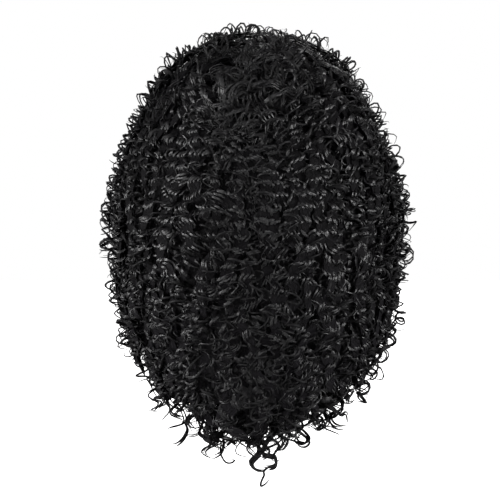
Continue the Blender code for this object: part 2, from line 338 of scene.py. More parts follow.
def hem_at(points):
    """The height below which there is no hair, at each point's azimuth."""
    hem = around(HEM, np.arctan2(points[..., 0], points[..., 1]))
    across = np.clip(np.abs(points[..., 0]) / FACE_HALF_WIDTH, 0, 1)
    arch = FACE_MIDDLE_Z + (FACE_TOP_Z - FACE_MIDDLE_Z) * np.sqrt(1 - across**2)
    over_face = (points[..., 1] < 0) & (np.abs(points[..., 0]) < FACE_HALF_WIDTH)
    return np.where(over_face, np.maximum(hem, arch), hem)


def flow_at(points, normals):
    """The way that hair grows and falls: away from the whorl with a swirl, then down."""
    from_whorl = points - WHORL
    far = np.linalg.norm(from_whorl, axis=-1, keepdims=True)
    swirl = np.cross(normals, unit(from_whorl))
    fall = smoothstep(*SWIRL_TO_FALL, far)
    way = unit(from_whorl) * (1 - 0.75 * fall) + swirl * SWIRL * (1 - fall)
    way = way + fall * FALL
    way = way + np.cross(way, normals) * WAVER * ripple(points, WAVER_LENGTH, 0.9)[..., None]
    way = way - normals * np.sum(way * normals, axis=-1, keepdims=True)
    return unit(way)


def ripple(points, wave_length, shift):
    """A smooth value from -1 to 1 that changes from place to place."""
    k = 2 * math.pi / wave_length
    x, y, z = np.moveaxis(points, -1, 0)
    return (
        np.sin(k * (x + 0.6 * z) + shift)
        + np.sin(k * (0.8 * y - 0.5 * z) + 2.1 * shift)
        + np.sin(k * (0.7 * z + 0.4 * x - 0.5 * y) + 3.7 * shift)
    ) / 3


def fall_from_whorl(points):
    """How far hair at each point has come from the whorl: round it at first, then straight down."""
    far = np.linalg.norm(points - WHORL, axis=-1)
    fall = smoothstep(*SWIRL_TO_FALL, far)
    return far * (1 - fall) + (0.03 + WHORL[2] - points[..., 2]) * fall


def wave_phase(points):
    """Which part of a wave hair at each point is in, so that locks side by side wave in rows."""
    near_whorl = 1 - smoothstep(*NEAR_WHORL, np.linalg.norm(points - WHORL, axis=-1))
    pitch = WAVE_PITCH + WHORL_PITCH * near_whorl
    bend = ROW_BEND * ripple(points, ROW_BEND_LENGTH, 1.7)
    return 2 * math.pi * fall_from_whorl(points) / pitch + bend


def tufted(points):
    """How much deeper or higher the hair's tufts lie at each point."""
    return TUFT_HEIGHT * ripple(points, TUFT_LENGTH, 2.0)


def level_way(points):
    """The level way from the middle axis out to each point."""
    return unit(points * LEVEL)


form = Form(HAIR)
head = Form(HEAD)


def sites_on_form(count, chance, margin):
    """Points over the form, above the hem, each the farthest of a few from those before it."""
    found = np.empty((0, 3))
    while len(found) < SITE_CHOICES * count:
        ways = unit(chance.normal(size=(TRIES_PER_SITE * count, 3)))
        reach = form.distance(CENTRE + ways * 0.001) + 0.001
        places = CENTRE + ways * reach[:, None]
        steep = np.clip(np.sum(form.normal(places) * ways, axis=-1), STEEPEST, 1)
        area = reach**2 / steep
        keep = chance.uniform(0, LARGEST_AREA, len(area)) < area
        keep &= places[:, 2] > hem_at(places) + margin
        found = np.concatenate((found, places[keep]))
    nearest = np.full(len(found), 1.0)
    kept = []
    for _ in range(count):
        few = chance.integers(0, len(found), SITE_CHOICES)
        best = few[np.argmax(nearest[few])]
        kept.append(found[best])
        nearest = np.minimum(nearest, np.linalg.norm(found - found[best], axis=-1))
    return np.array(kept)


def back_to_roots(sites, depths, lengths):
    """Where locks start that reach their sites after these lengths, sunk a little into the hair."""
    place = sites - form.normal(sites) * depths[:, None]
    for k in range(int(lengths.max() / STEP) + 1):
        normal = form.normal(place)
        off_whorl = np.linalg.norm(place - WHORL, axis=-1)
        going = (k * STEP < lengths) & (off_whorl > WHORL_EYE)
        lift = np.clip((form.distance(place) - depths) / STEP, -1, 1) * 0.35
        move = unit(normal * lift[:, None] - flow_at(place, normal))
        place = place + STEP * move * going[:, None]
    return place - form.normal(place) * ROOT_DEPTH


def grow(sites, depths, lengths, tip_lift, chance):
    """The paths of locks over the form, their middles near the sites: points and outward normals."""
    count = len(sites)
    place = back_to_roots(sites, depths, lengths * chance.uniform(0.35, 0.65, count))
    steps = int(lengths.max() / STEP) + 1
    points = np.empty((steps + 1, count, 3))
    normals = np.empty_like(points)
    sway_phase = chance.uniform(0, 2 * math.pi, count)
    sway_rate = chance.uniform(60, 140, count)
    off_whorl = np.linalg.norm(sites - WHORL, axis=-1)
    restless = 1 + 0.9 * smoothstep(*RESTLESS_HAIR, off_whorl)
    sway_size = chance.uniform(0.15, 0.75, count) * restless
    for k in range(steps + 1):
        normal = form.normal(place)
        points[k], normals[k] = place, normal
        share = k * STEP / lengths
        wanted = depths - tip_lift * smoothstep(0.6, 1.0, share)
        flow = flow_at(place, normal)
        sway = sway_size * np.sin(sway_phase + sway_rate * k * STEP)
        lift = np.clip((form.distance(place) - wanted) / STEP, -1, 1) * 0.45
        way = flow + np.cross(flow, normal) * sway[:, None] + normal * lift[:, None]
        place = place + STEP * unit(way)
    return points, normals


def clipped(points, normals, lengths, slack):
    """Each path's number, points and normals, ended at its length or past the hem by its slack."""
    hem = hem_at(points)
    for i in range(points.shape[1]):
        count = int(lengths[i] / STEP) + 1
        below = np.nonzero(points[:count, i, 2] < hem[:count, i] - slack[i])[0]
        if len(below):
            count = below[0]
        if count >= FEWEST_POINTS:
            yield i, points[:count, i], normals[:count, i]


def resampled(values, at):
    """Rows of numbers read between each other, at places counted in rows."""
    base = np.arange(len(values))
    return np.stack([np.interp(at, base, column) for column in values.T], axis=-1)


def lock_strands(points, normals, style, phase, hand, per_turn, chance):
    """The strands of one lock, each a stack of three-point rings, wound round its path."""
    length = STEP * (len(points) - 1)
    turns = length / style.pitch
    count = max(FEWEST_RINGS, int(turns * per_turn))
    at = np.linspace(0, len(points) - 1, count)
    middle, out = resampled(points, at), resampled(normals, at)
    along = unit(np.gradient(middle, axis=0))
    out = unit(out - along * np.sum(out * along, axis=-1, keepdims=True))
    side = np.cross(along, out)
    share = np.linspace(0, 1, count)
    wound = wave_phase(middle) if style.in_rows else 2 * math.pi * turns * (share - 0.5)
    tone = chance.uniform()
    strands = []
    drift = 0.35 * np.sin(share * turns * 1.7 + any_phase(chance))
    swell = 0.35 + 0.65 * smoothstep(0, 0.10, share)
    swell = swell * (1 + 0.15 * np.sin(share * turns * 2.3 + any_phase(chance)))
    tilt = chance.normal(0, ROW_TILT) * style.fan
    for j in range(style.strands):
        loose = style.strands > 1
        own = phase + j * tilt + chance.normal(0, 0.16 if loose else 0)
        angle = hand * (own + wound + drift)
        cosine, sine = np.cos(angle)[:, None], np.sin(angle)[:, None]
        offset = (j - (style.strands - 1) / 2 + chance.normal(0, 0.15)) * style.gap
        wander = 0.001 * np.sin(share * 5 + any_phase(chance))
        offset = offset * (1 + 0.5 * share) + wander
        crest = flattened(cosine) if style.in_rows else cosine
        reach = out * crest * style.depth + side * sine * style.lateral
        reach = reach * chance.uniform(0.85, 1.15) if loose else reach
        centres = middle + reach * swell[:, None] + side * offset[:, None]
        face = out * (1 - style.facing) + (out * cosine + side * sine) * style.facing
        width = style.width * chance.uniform(0.8, 1.2)
        end = count - int(chance.uniform(0, 0.2) * count) if loose else count
        strands.append((strand_rings(centres[:end], face[:end], width, style.height), tone))
    return strands


def any_phase(chance):
    return chance.uniform(0, PHASES)


def wound_either_way(path, out, style, per_turn, chance):
    """The strands of one lock wound to the left or the right, from any phase."""
    hand = int(chance.choice((-1, 1)))
    return lock_strands(path, out, style, any_phase(chance), hand, per_turn, chance)


def flattened(cosine):
    """A wave with flatter tops than a cosine's, which catch the light over more of their length."""
    return cosine * (1.875 - 1.25 * cosine**2 + 0.375 * cosine**4)


def lock_core(points, normals, style, chance):
    """The shaded inside of one lock, round which its strands wind."""
    at = np.linspace(0, len(points) - 1, max(5, len(points) // 2))
    middle, out = resampled(points, at), resampled(normals, at)
    reach = CORE_REACH * min(style.lateral, WIDEST_CORE_REACH)
    half = reach + style.gap * (style.strands - 1) / 2
    thick = 1.4 * style.depth
    middle = middle + out * (style.core * style.depth - 0.3 * thick)
    return [(strand_rings(middle, -out, 2 * half, thick, tip=2), chance.uniform())]


def strand_rings(centres, faces, width, height, tip=7):
    """Rings of three points along a strand: a flat back and a ridge on its face, tapered at its ends."""
    along = unit(np.gradient(centres, axis=0))
    across = unit(np.cross(along, faces))
    out = np.cross(across, along)
    count = len(centres)
    share = np.linspace(0, 1, count)
    from_ends = np.minimum(share * count / 3, (1 - share) * count / tip)
    taper = np.clip(from_ends, 0.02, 1) ** 0.6
    half = (width / 2 * taper)[:, None] * across
    rise = (height / 2 * taper)[:, None] * out
    return np.stack((centres - half - rise * 0.6, centres + half - rise * 0.6, centres + rise), axis=1)


def strand_faces(counts, flat):
    """The corners of the faces of three-sided strands, and where each face's corners start."""
    ends = np.cumsum(counts)
    first = ends - counts
    inner = np.ones(ends[-1], bool)
    inner[ends - 1] = False
    low = np.nonzero(inner)[0] * 3
    quads = []
    for k in (1, 2) if flat else (0, 1, 2):
        turn = (k + 1) % 3
        quads.append(np.stack((low + k, low + turn, low + 3 + turn, low + 3 + k), axis=-1))
    quads = np.concatenate(quads)
    bottoms = first[:, None] * 3 + np.array((2, 1, 0))
    tops = (ends - 1)[:, None] * 3 + np.array((0, 1, 2))
    caps = np.concatenate((bottoms, tops))[: 0 if flat else None]
    corners = np.concatenate((quads.ravel(), caps.ravel()))
    starts = np.concatenate((np.arange(len(quads)) * 4, len(quads) * 4 + np.arange(len(caps)) * 3))
    return corners.astype(np.int32), starts.astype(np.int32)


def strand_places(rings, counts, tones):
    """Each point's place on its strand, across and along it in mm, and its lock's tone."""
    first = np.cumsum(counts) - counts
    step = np.linalg.norm(np.diff(rings[:, 2], axis=0, prepend=rings[:1, 2]), axis=-1)
    step[first] = 0
    run = np.cumsum(step)
    run = (run - np.repeat(run[first], counts)) * 1000
    wide = np.linalg.norm(rings[:, 1] - rings[:, 0], axis=-1) * 500
    tone = np.repeat(tones, counts)
    lie = np.stack((-wide, wide, 0 * wide), axis=-1).ravel()
    return np.stack((lie, np.repeat(run, 3), np.repeat(tone, 3)), axis=-1)


def tube_mesh(name, strands, flat=False):
    """One mesh of many three-sided strands, flat ones without the side on their lock's core."""
    counts = np.array([len(rings) for rings, tone in strands])
    rings = np.concatenate([rings for rings, tone in strands])
    corners, starts = strand_faces(counts, flat)
    mesh = bpy.data.meshes.new(name)
    mesh.vertices.add(len(rings) * 3)
    mesh.vertices.foreach_set("co", rings.astype(np.float32).ravel())
    mesh.loops.add(len(corners))
    mesh.loops.foreach_set("vertex_index", corners)
    mesh.polygons.add(len(starts))
    mesh.polygons.foreach_set("loop_start", starts)
    mesh.polygons.foreach_set("use_smooth", np.ones(len(starts), bool))
    places = strand_places(rings, counts, [tone for rings, tone in strands])
    layer = mesh.attributes.new("strand", "FLOAT_VECTOR", "POINT")
    layer.data.foreach_set("vector", places.astype(np.float32).ravel())
    mesh.update(calc_edges=True)
    crease_sides(mesh)
    return mesh


def crease_sides(mesh):
    """Shades the flat back of each strand apart from its face, along the strand's two sides."""
    ends = np.empty(len(mesh.edges) * 2, np.int32)
    mesh.edges.foreach_get("vertices", ends)
    corner = ends.reshape(-1, 2) % 3
    sharp = (corner[:, 0] == corner[:, 1]) & (corner[:, 0] != 2)
    mesh.attributes.new("sharp_edge", "BOOLEAN", "EDGE").data.foreach_set("value", sharp)


def tier_at(place):
    """The tier of hair that a place belongs to."""
    x, y, z = place
    if z > TIER_EDGES[0]:
        return "whorl" if np.linalg.norm(place - WHORL) < WHORL_REACH else "crown"
    if abs(x) < FRINGE_HALF_WIDTH and y < FRINGE_BACK_Y and z > FRINGE_BOTTOM_Z:
        return "fringe"
    if z > TIER_EDGES[1]:
        return "upper_weft"
    return "middle_weft" if z > TIER_EDGES[2] else "nape_weft"


def wave_style(near_whorl, low, chance):
    """A flat lock of strands that wave side by side, looser near the whorl and finer low down."""
    width = chance.uniform(0.0013, 0.0023) * (1 - 0.25 * near_whorl) * (1 - 0.22 * low)
    gap = width * (1.45 + 0.10 * near_whorl)
    return Style(
        lateral=chance.uniform(0.0016, 0.0028) + 0.0046 * near_whorl,
        depth=chance.uniform(0.0013, 0.0024) + 0.0028 * near_whorl,
        pitch=(
            WAVE_PITCH * chance.uniform(0.92, 1.08) * (1 - 0.20 * low) + WHORL_PITCH * near_whorl
        ),
        strands=int(np.clip(chance.uniform(*LOCK_WIDTHS) / gap, 3, 6)),
        gap=gap,
        width=width,
        height=0.18 * width,
        facing=0.0,
        core=0.15 - 1.8 * near_whorl,
        fan=1 - 0.7 * near_whorl,
        in_rows=True,
    )


def ringlet_style(near_whorl, low, chance):
    """A corkscrew lock."""
    radius = chance.uniform(0.0036, 0.0056) * (1 - 0.15 * low) + 0.0030 * near_whorl
    return Style(
        lateral=radius,
        depth=radius * 0.9,
        pitch=chance.uniform(0.0090, 0.0120) + 0.0120 * near_whorl,
        strands=2,
        gap=0.0016,
        width=chance.uniform(0.0016, 0.0028) * (1 - 0.25 * low) + 0.0006 * near_whorl,
        height=0.0006,
        facing=0.4,
        core=0.05 - 0.8 * near_whorl,
    )


def keep(kept, kind, place, strands):
    """Keeps strands with the tier that a place belongs to."""
    kept.setdefault((tier_at(place), kind), []).extend(strands)


def outer_locks(kept):
    """The locks that make the surface of the hair."""
    chance = np.random.default_rng(SEED)
    count = OUTER_LOCKS
    sites = sites_on_form(count, chance, 0.004)
    depths = 0.0025 + 0.0125 * chance.uniform(0, 1, count) ** 1.3 + tufted(sites)
    lengths = chance.uniform(0.040, 0.076, count)
    tip_lift = chance.uniform(-0.005, 0.001, count)
    slack = chance.uniform(-0.012, 0.010, count)
    points, normals = grow(sites, depths, lengths, tip_lift, chance)
    for i, path, out in clipped(points, normals, lengths, slack):
        middle = path[len(path) // 2]
        far = float(np.linalg.norm(middle - WHORL))
        near_whorl = 1 - float(smoothstep(*NEAR_WHORL, far))
        low = float(smoothstep(*LOW_HAIR, far))
        wavy = 0.92 - 0.42 * low
        leaning = float(ripple(middle, ROW_BEND_LENGTH, 0.4)) + chance.normal(0, 0.25)
        hand = 1 if leaning > -0.1 else -1
        if chance.uniform() < wavy:
            kind, style = "waves", wave_style(near_whorl, low, chance)
            phase = chance.normal(0, 0.40 + 1.8 * low**1.5)
        else:
            kind, style = "coils", ringlet_style(near_whorl, low, chance)
            phase = chance.uniform(0, 2 * math.pi)
        strands = lock_strands(path, out, style, phase, hand, LOCK_RINGS, chance)
        keep(kept, kind, middle, strands)
        keep(kept, "cores", middle, lock_core(path, out, style, chance))


def under_locks(kept):
    """Coarser coils below the surface, which close the gaps between the locks above."""
    chance = np.random.default_rng(SEED + 1)
    count = UNDER_LOCKS
    sites = sites_on_form(count, chance, 0.006)
    depths = chance.uniform(0.015, 0.020, count)
    lengths = chance.uniform(0.05, 0.10, count)
    points, normals = grow(sites, depths, lengths, np.zeros(count), chance)
    slack = chance.uniform(-0.010, 0.012, count)
    for i, path, out in clipped(points, normals, lengths, slack):
        radius = chance.uniform(0.0050, 0.0065)
        style = Style(
            lateral=radius,
            depth=radius,
            pitch=chance.uniform(0.010, 0.013),
            strands=1,
            gap=0.0,
            width=0.0050,
            height=0.0016,
            facing=1.0,
            core=0.0,
        )
        strands = wound_either_way(path, out, style, UNDER_RINGS, chance)
        keep(kept, "coils", path[len(path) // 2], strands)


def loose_curls(kept):
    """Curls of one or two fine strands over the surface, which stand out as loops at the outline."""
    chance = np.random.default_rng(SEED + 2)
    count = LOOSE_CURLS
    sites = sites_on_form(count, chance, 0.004)
    depths = chance.uniform(-0.0040, 0.003, count) + tufted(sites)
    lengths = chance.uniform(0.020, 0.038, count)
    tip_lift = chance.uniform(0.0, 0.008, count)
    points, normals = grow(sites, depths, lengths, tip_lift, chance)
    slack = chance.uniform(-0.004, 0.016, count)
    for i, path, out in clipped(points, normals, lengths, slack):
        radius = chance.uniform(0.0042, 0.0074)
        width = chance.uniform(0.0013, 0.0022)
        style = Style(
            lateral=radius,
            depth=radius,
            strands=int(chance.choice((1, 1, 2))),
            pitch=chance.uniform(0.009, 0.018),
            gap=0.0015,
            width=width,
            height=width,
            facing=1.0,
            core=0.0,
        )
        strands = wound_either_way(path, out, style, CURL_RINGS, chance)
        keep(kept, "curls", path[len(path) // 2], strands)


def wisps(kept):
    """Thin stray strands over the surface, in every direction."""
    chance = np.random.default_rng(SEED + 9)
    count = WISPS
    sites = sites_on_form(count, chance, 0.008)
    depths = chance.uniform(-0.0010, 0.0040, count) + tufted(sites)
    lengths = chance.uniform(0.026, 0.044, count)
    points, normals = grow(sites, depths, lengths, chance.uniform(0.0, 0.003, count), chance)
    slack = chance.uniform(-0.004, 0.008, count)
    for i, path, out in clipped(points, normals, lengths, slack):
        width = chance.uniform(0.0007, 0.0011)
        style = Style(
            lateral=chance.uniform(0.0040, 0.0075),
            depth=chance.uniform(0.0020, 0.0040),
            pitch=chance.uniform(0.012, 0.022),
            strands=1,
            gap=0.0,
            width=width,
            height=0.5 * width,
            facing=0.0,
            core=0.0,
        )
        strands = wound_either_way(path, out, style, CURL_RINGS, chance)
        keep(kept, "waves", path[len(path) // 2], strands)


def hang(starts, lengths, chance):
    """Paths that fall nearly straight down from their starts, swaying a little."""
    steps = int(lengths.max() / STEP) + 1
    out = level_way(starts)
    leans = chance.normal(0, HANG_LEAN, (2, len(starts), 1))
    rate = chance.uniform(60, 120, len(starts))[:, None]
    phases = chance.uniform(0, PHASES, (2, len(starts), 1))
    fallen = np.arange(steps + 1)[:, None, None] * STEP
    points = starts - fallen * UP
    for way, lean, phase in zip((out, np.cross(out, UP)), leans, phases):
        points = points + way * (lean * fallen + HANG_SWAY * np.sin(fallen * rate + phase))
    return points, np.broadcast_to(out, points.shape)


def hem_style(chance):
    """A loose curl of one or two fine strands."""
    return Style(
        lateral=chance.uniform(0.0038, 0.0066),
        depth=chance.uniform(0.0030, 0.0050),
        pitch=chance.uniform(0.0110, 0.0190),
        strands=int(chance.choice((1, 1, 2))),
        gap=chance.uniform(0.0016, 0.0026),
        width=chance.uniform(0.0015, 0.0030),
        height=0.0011,
        facing=0.5,
        core=0.0,
    )


def hem_locks(kept):
    """Locks of the lower edge, through the whole thickness of the hair."""
    chance = np.random.default_rng(SEED + 3)
    count = HEM_LOCKS
    azimuth = chance.uniform(-math.pi, math.pi, count)
    depth = chance.uniform(0.0, 1.0, count)
    edge = hem_at(form.oval(azimuth, around(HEM, azimuth)))
    inner = head.oval(azimuth, edge)
    inner = inner + level_way(inner) * 0.006
    outer = form.oval(azimuth, edge) * (0.94, 0.94, 1.0)
    starts = inner + (outer - inner) * depth[:, None]
    starts[:, 2] = hem_at(starts) + chance.uniform(0.025, 0.050, count)
    lengths = chance.uniform(0.040, 0.075, count)
    points, normals = hang(starts, lengths, chance)
    slack = chance.uniform(-0.014, 0.018, count)
    for i, path, out in clipped(points, normals, lengths, slack):
        style = hem_style(chance)
        keep(kept, "coils", starts[i], wound_either_way(path, out, style, LOCK_RINGS, chance))
        full = max(4, int(0.75 * len(path)))
        keep(kept, "cores", starts[i], lock_core(path[:full], out[:full], style, chance))


def dangling_locks(kept):
    """Wide curls of one to three strands that hang below the edge at the back."""
    chance = np.random.default_rng(SEED + 7)
    count = DANGLING_LOCKS
    azimuth = chance.uniform(-1.25, 1.25, count)
    edge = around(HEM, azimuth)
    starts = form.oval(azimuth, edge) * LEVEL * chance.uniform(0.55, 0.93, count)[:, None]
    starts[:, 2] = edge + chance.uniform(0.012, 0.034, count)
    lengths = chance.uniform(0.045, 0.080, count)
    points, normals = hang(starts, lengths, chance)
    slack = 0.030 * chance.uniform(0, 1, count) ** 1.3 * (1 + 0.35 * np.sin(azimuth)) + 0.004
    for i, path, out in clipped(points, normals, lengths, slack):
        radius = chance.uniform(0.0045, 0.0085)
        width = chance.uniform(0.0017, 0.0027)
        style = Style(
            lateral=radius,
            depth=radius,
            strands=int(chance.choice((1, 2, 3))),
            pitch=chance.uniform(0.016, 0.028),
            gap=0.0014,
            width=width,
            height=0.7 * width,
            facing=0.5,
            core=0.0,
            fan=0.5,
        )
        strands = wound_either_way(path, out, style, DANGLING_RINGS, chance)
        kept.setdefault(("nape_weft", "curls"), []).extend(strands)


def inner_locks(kept):
    """Locks inside the hollow, from the rim of the cap down to the lower edge."""
    chance = np.random.default_rng(SEED + 4)
    count = INNER_LOCKS
    azimuth = chance.uniform(-math.pi, math.pi, count)
    rim = around(CAP_RIM, azimuth) + 0.006
    wall = head.oval(azimuth, rim)
    starts = wall + level_way(wall) * chance.uniform(0.008, 0.012, count)[:, None]
    away = np.linalg.norm(starts[:, :2] - wall[:, :2], axis=-1)[:, None]
    lengths = np.maximum(rim - hem_at(starts), 0.02)
    points, normals = hang(starts, lengths, chance)
    wall = head.oval(azimuth, points[..., 2])
    points[..., :2] = (wall + level_way(wall) * away)[..., :2]
    slack = chance.uniform(-0.010, 0.010, count)
    for i, path, out in clipped(points, -normals, lengths, slack):
        style = ringlet_style(0.0, 0.0, chance)
        keep(kept, "coils", starts[i], wound_either_way(path, out, style, LOCK_RINGS, chance))


def face_locks(kept):
    """Locks that follow the arch over the face, through the whole thickness of the hair."""
    chance = np.random.default_rng(SEED + 8)
    turn = np.linspace(0.15, 1.50, 240)
    arch_x = FACE_HALF_WIDTH * np.sin(turn)
    arch_z = FACE_MIDDLE_Z + (FACE_TOP_Z - FACE_MIDDLE_Z) * np.cos(turn)
    run = np.concatenate(([0], np.cumsum(np.hypot(np.diff(arch_x), np.diff(arch_z)))))
    for k in range(FACE_LOCKS):
        side = 1 if k % 2 else -1
        share = chance.uniform(0.02, 1.06)
        start = chance.uniform(0, 0.85) * run[-1]
        at = np.arange(start, min(start + chance.uniform(0.040, 0.070), run[-1]), STEP)
        if len(at) <= FEWEST_POINTS:
            continue
        x, z = np.interp(at, run, arch_x), np.interp(at, run, arch_z)
        azimuth = math.pi - np.arcsin(x / np.interp(z, form.z, form.half_width))
        inner = head.oval(azimuth, z) * (1.07, 1.07, 1.0)
        outer = form.oval(azimuth, z) * (0.93, 0.93, 1.0)
        path = inner + (outer - inner) * share
        steep = (x / FACE_HALF_WIDTH) ** 2
        out = unit(np.stack((steep * np.cos(azimuth), -steep * np.sin(azimuth), steep - 1), axis=-1))
        path = path + out * chance.uniform(0.002, 0.006)
        path, out = path * (side, 1, 1), out * (side, 1, 1)
        style = ringlet_style(0.0, 0.5, chance)
        keep(kept, "coils", path[0], wound_either_way(path, out, style, LOCK_RINGS, chance))
        keep(kept, "cores", path[0], lock_core(path, out, style, chance))


# The loose locks that hang lowest at the back: how many strands each one has, how wide they are about,
# and its bends, as points across (+X) and up from the crown, all in mm. They hang this far out from the
# middle of the hair towards its back.
Tail = namedtuple("Tail", "strands width bends")
TAILS = (
    Tail(4, 2.6,
        ((20, -323), (17, -337), (7, -340), (-1, -344), (-2, -351),
         (3, -358), (6, -363), (0, -367), (-10, -367))
    ),
    Tail(4, 2.6,
        ((-25, -323), (-16, -333), (-8, -343), (-5, -351), (-10, -355),
         (-17, -357), (-17, -363), (-10, -366), (-5, -367))
    ),
    Tail(2, 2.1, ((12, -325), (3, -337), (-5, -343), (-13, -350), (-9, -357), (-3, -356))),
    Tail(2, 2.1, ((-12, -325), (-21, -335), (-29, -342), (-24, -350), (-16, -352))),
    Tail(1, 2.1,
        ((-12, -367), (-6, -371), (-6, -377), (-3, -383), (-2, -386),
         (-6, -385), (-10, -381))
    ),
    Tail(3, 2.1,
        ((49, -311), (53, -326), (55, -334), (46, -338), (36, -338),
         (41, -344), (33, -346))
    ),
    Tail(2, 2.1, ((38, -333), (33, -341), (34, -351), (41, -357), (44, -359))),
    Tail(1, 2.1, ((35, -347), (35, -355), (30, -363), (24, -365), (21, -362), (24, -360))),
    Tail(3, 2.1, ((65, -315), (70, -325), (68, -332), (72, -340), (78, -346), (81, -347))),
    Tail(2, 2.1,
        ((79, -286), (89, -297), (98, -301), (100, -303), (91, -304),
         (96, -311), (97, -314))
    ),
    Tail(2, 2.1, ((31, -313), (30, -325), (34, -333), (26, -337), (19, -343), (17, -335))),
    Tail(3, 2.1,
        ((-31, -313), (-34, -325), (-44, -334), (-50, -340),
         (-45, -344), (-38, -343), (-40, -335))
    ),
    Tail(2, 2.1,
        ((-29, -318), (-40, -328), (-46, -334), (-50, -340),
         (-44, -344), (-32, -343), (-25, -342))
    ),
    Tail(1, 2.1, ((-41, -317), (-45, -328), (-38, -334), (-41, -341), (-47, -344))),
    Tail(3, 2.1,
        ((-78, -296), (-82, -310), (-74, -318), (-69, -320),
         (-72, -327), (-78, -330), (-84, -331))
    ),
    Tail(2, 2.1, ((-74, -309), (-81, -317), (-86, -316), (-87, -319), (-87, -322))),
    Tail(1, 2.1, ((-96, -283), (-101, -293), (-99, -300), (-102, -306), (-109, -309))),
    Tail(2, 2.1, ((-60, -310), (-57, -319), (-65, -324), (-60, -330), (-53, -327))),
)
TAIL_DEPTH = 0.66
TAIL_POINTS_PER_BEND = 6


def tail_locks(kept):
    """The lowest locks, each a few strands that follow the same bends and part a little."""
    chance = np.random.default_rng(SEED + 6)
    for tail in TAILS:
        bends = np.array(tail.bends) / 1000
        top = bends[0, 1] + 0.02
        wide, deep = np.interp(top, form.z, form.half_width), np.interp(top, form.z, form.back)
        y = TAIL_DEPTH * deep * math.sqrt(1 - min(abs(bends[0, 0]) / wide, 0.9) ** 2)
        spots = np.stack((bends[:, 0], 0 * bends[:, 0] + y, bends[:, 1]), axis=-1)
        line = smooth_rows(spots, TAIL_POINTS_PER_BEND)
        share = np.linspace(0, 1, len(line))
        turn = share * len(bends) * 1.6 + any_phase(chance)
        line[:, 1] += 0.004 * np.sin(turn)
        tone = chance.uniform()
        strands = []
        for _ in range(tail.strands):
            apart = chance.normal(0, 0.0010, 3) + chance.normal(0, 0.0018, 3) * share[:, None] ** 2
            end = len(line) - int(chance.uniform(0, 0.25) * len(line)) * (len(strands) > 0)
            width = tail.width / 1000 * chance.uniform(0.85, 1.15)
            path = (line + apart)[:end]
            faces = np.broadcast_to((0.0, 1.0, 0.0), path.shape)
            strands.append((strand_rings(path, faces, width, 0.7 * width, tip=10), tone))
        kept.setdefault(("nape_weft", "curls"), []).extend(strands)


def add_piece(name, mesh, material, nodes=()):
    """A piece of the scene in its material, which takes the place of the nodes if it names any."""
    piece = bpy.data.objects.new(name, mesh)
    bpy.context.scene.collection.objects.link(piece)
    mesh.materials.clear()
    mesh.materials.append(material)
    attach(piece, "root")
    if nodes:
        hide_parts(*nodes)


def base_columns():
    """Columns of points down the dark base's outer wall, and along its underside and up its lining."""
    rows = smooth_rows(HAIR, ROWS_PER_SECTION)
    outer, lining = [], []
    for turn in np.linspace(-math.pi, math.pi, BASE_AROUND, endpoint=False):
        deep = rows[:, 2] if math.cos(turn) > 0 else rows[:, 3]
        line = np.stack((rows[:, 1] * math.sin(turn), deep * math.cos(turn), rows[:, 0]), axis=-1)
        above = np.nonzero(line[:, 2] > hem_at(line) + BASE_HEM_RISE)[0]
        column = resampled(line, np.linspace(0, above[-1], BASE_DOWN))
        column = column - form.normal(column) * BASE_DEPTH
        edge_z = column[-1, 2]
        up = smoothstep(0, 1, np.linspace(0, 1, BASE_UP))
        z = edge_z + LINING_RISE + (LINING_TOP - edge_z) * up
        inner = head.oval(np.full(BASE_UP, turn), z)
        rim = float(around(CAP_RIM, turn))
        above_rim = smoothstep(rim + RIM_RANGE[0], rim + RIM_RANGE[1], z)
        room = CAP_CLEARANCE + LINING_ROOM * (1 - above_rim)
        inner = inner + head_normal(inner) * room[:, None]
        outer.append(column)
        lining.append(np.concatenate((column[-1:], inner)))
    return outer, lining


def wall_mesh(name, columns):
    """A wall round the head through columns of points."""
    count, per = len(columns), len(columns[0])
    faces = []
    for i in range(count):
        a, b = i * per, (i + 1) % count * per
        faces.extend((a + k, a + k + 1, b + k + 1, b + k) for k in range(per - 1))
    mesh = bpy.data.meshes.new(name)
    mesh.from_pydata(np.concatenate(columns).tolist(), [], faces)
    mesh.polygons.foreach_set("use_smooth", np.ones(len(mesh.polygons), bool))
    return mesh


def head_normal(points):
    """The way out of the head at each point: level below its middle."""
    return unit((points - CENTRE) * np.where(points[..., 2:] > CENTRE[2], 1.0, LEVEL))


